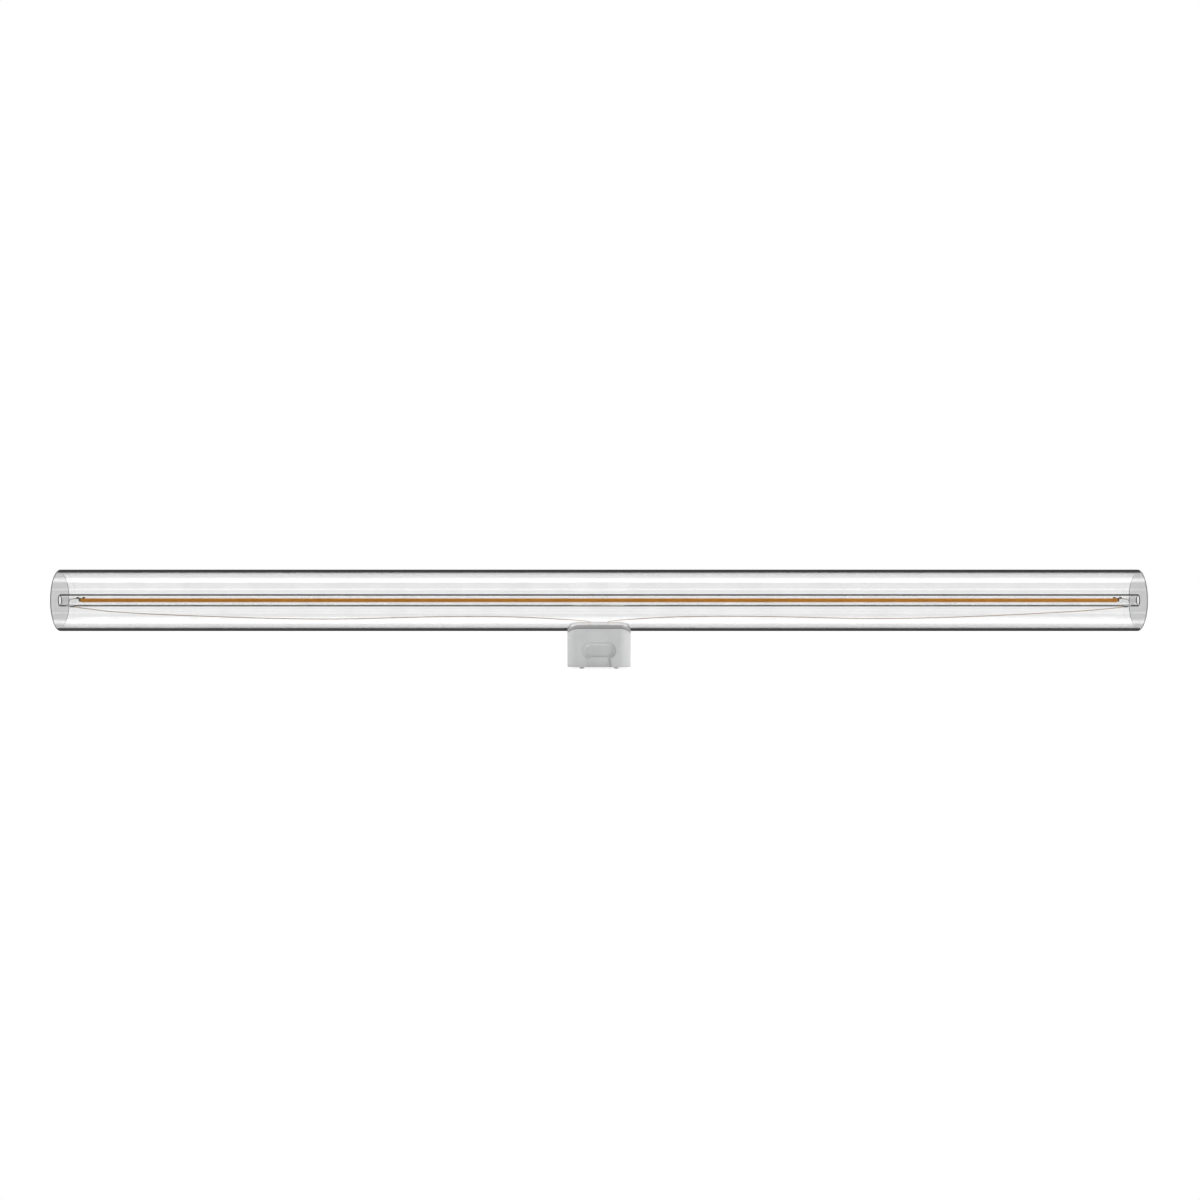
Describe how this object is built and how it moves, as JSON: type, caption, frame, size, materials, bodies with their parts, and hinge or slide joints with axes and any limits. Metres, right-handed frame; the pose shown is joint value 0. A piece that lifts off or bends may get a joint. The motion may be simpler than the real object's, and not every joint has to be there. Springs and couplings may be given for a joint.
{
  "type": "led linear tube lamp",
  "caption": "Clear straight glass tube lamp with an orange filament strip on its axis and a white two-contact cap under its middle.",
  "frame": {"origin": "centre of the cap's flat end face", "axes": "+Z from the cap towards the glass tube, +X along the tube, -Y out of the cap's front face"},
  "size_m": [0.5, 0.0286, 0.046],
  "materials": {
    "clear_glass": "clear drawn glass",
    "clear_disc": "clear cast acrylic",
    "clear_adhesive": "clear cured silicone",
    "phosphor": "orange phosphor in silicone",
    "strip_metal": "thin stamped sheet and wire",
    "dark_bead": "dark sealing bead",
    "copper_wire": "tinned copper wire",
    "white_plastic": "satin moulded PBT",
    "contact_metal": "nickel-plated brass",
    "lead_insulation": "soft wire insulation",
    "board_laminate": "green glass-epoxy laminate",
    "black_moulding": "moulded epoxy",
    "capacitor_sleeve": "shrunk sleeve",
    "resistor_lacquer": "lacquered ceramic"
  },
  "bodies": {
    "root": {"outer_tube": "clear_glass", "inner_tube": "clear_glass", "end_disc_left": "clear_disc", "end_disc_right": "clear_disc", "end_seal_left": "clear_adhesive", "end_seal_right": "clear_adhesive", "cap_adhesive": "clear_adhesive", "phosphor_coat": "phosphor", "led_substrate": "strip_metal", "strip_terminal_left": "strip_metal", "strip_terminal_right": "strip_metal", "terminal_lead_left": "strip_metal", "terminal_lead_right": "strip_metal", "wire_bead_left": "dark_bead", "wire_bead_right": "dark_bead", "feed_wire_left": "copper_wire", "feed_wire_right": "copper_wire", "saddle_collar": "white_plastic", "cap_housing": "white_plastic", "contact_left": "contact_metal", "contact_right": "contact_metal", "contact_lead_left": "lead_insulation", "contact_lead_right": "lead_insulation", "driver_board": "board_laminate", "bridge_rectifier": "black_moulding", "driver_ic": "black_moulding", "smoothing_capacitor": "capacitor_sleeve", "fuse_resistor": "resistor_lacquer"}
  },
  "joints": []
}
